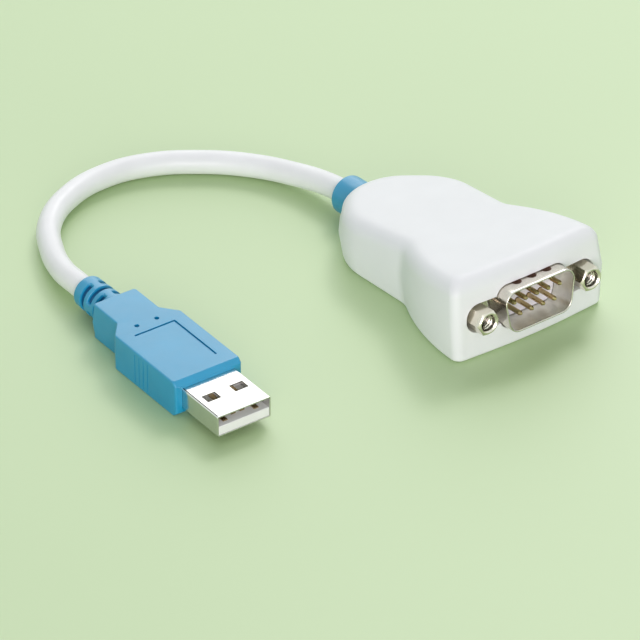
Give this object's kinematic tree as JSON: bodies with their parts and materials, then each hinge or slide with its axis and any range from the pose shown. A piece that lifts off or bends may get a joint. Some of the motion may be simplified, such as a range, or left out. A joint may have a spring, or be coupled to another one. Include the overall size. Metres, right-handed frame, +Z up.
{
  "type": "usb to serial adapter cable",
  "caption": "White wedge-shaped adapter housing with a nine pin serial connector and hex standoffs, joined by a short white cable with a blue collar to a blue USB plug.",
  "frame": {"origin": "on the surface that the adapter lies on, under the middle of the housing with its connector and collar", "axes": "+Y runs from the serial connector to the cable, +Z is up, and +X is to the right seen from behind the connector, with the housing symmetric about X = 0"},
  "size_m": [0.0886, 0.0975, 0.0169],
  "materials": {
    "white_plastic": "satin moulded white plastic",
    "white_jacket": "soft satin white jacket",
    "white_nylon": "matt white nylon",
    "blue_plastic": "satin blue plastic",
    "nickel_plate": "stamped steel with warm nickel plating",
    "bright_nickel": "bright nickel plating",
    "gold_plate": "gold plated contact",
    "green_board": "green solder mask",
    "black_epoxy": "matt black moulding",
    "ceramic": "matt tan ceramic",
    "red_insulation": "satin red insulation",
    "white_insulation": "satin white insulation",
    "green_insulation": "satin green insulation",
    "black_insulation": "satin black insulation"
  },
  "bodies": {
    "root": {"housing": "white_plastic", "serial_shroud": "nickel_plate", "serial_rear_shell": "nickel_plate", "serial_insulator": "white_nylon", "pin_1": "gold_plate", "pin_2": "gold_plate", "pin_3": "gold_plate", "pin_4": "gold_plate", "pin_5": "gold_plate", "pin_6": "gold_plate", "pin_7": "gold_plate", "pin_8": "gold_plate", "pin_9": "gold_plate", "standoff_left": "bright_nickel", "standoff_right": "bright_nickel", "nut_left": "bright_nickel", "nut_right": "bright_nickel", "circuit_board": "green_board", "level_shifter_chip": "black_epoxy", "usb_bridge_chip": "black_epoxy", "crystal": "nickel_plate", "capacitor_1": "ceramic", "capacitor_2": "ceramic", "capacitor_3": "ceramic", "capacitor_4": "ceramic", "board_wire_red": "red_insulation", "board_wire_white": "white_insulation", "board_wire_green": "green_insulation", "board_wire_black": "black_insulation", "cable_collar": "blue_plastic", "cable": "white_jacket", "plug_overmould": "blue_plastic", "usb_shell": "bright_nickel", "usb_tongue": "white_nylon", "usb_contact_1": "gold_plate", "usb_contact_2": "gold_plate", "usb_contact_3": "gold_plate", "usb_contact_4": "gold_plate", "plug_wire_red": "red_insulation", "plug_wire_white": "white_insulation", "plug_wire_green": "green_insulation", "plug_wire_black": "black_insulation"}
  },
  "joints": []
}
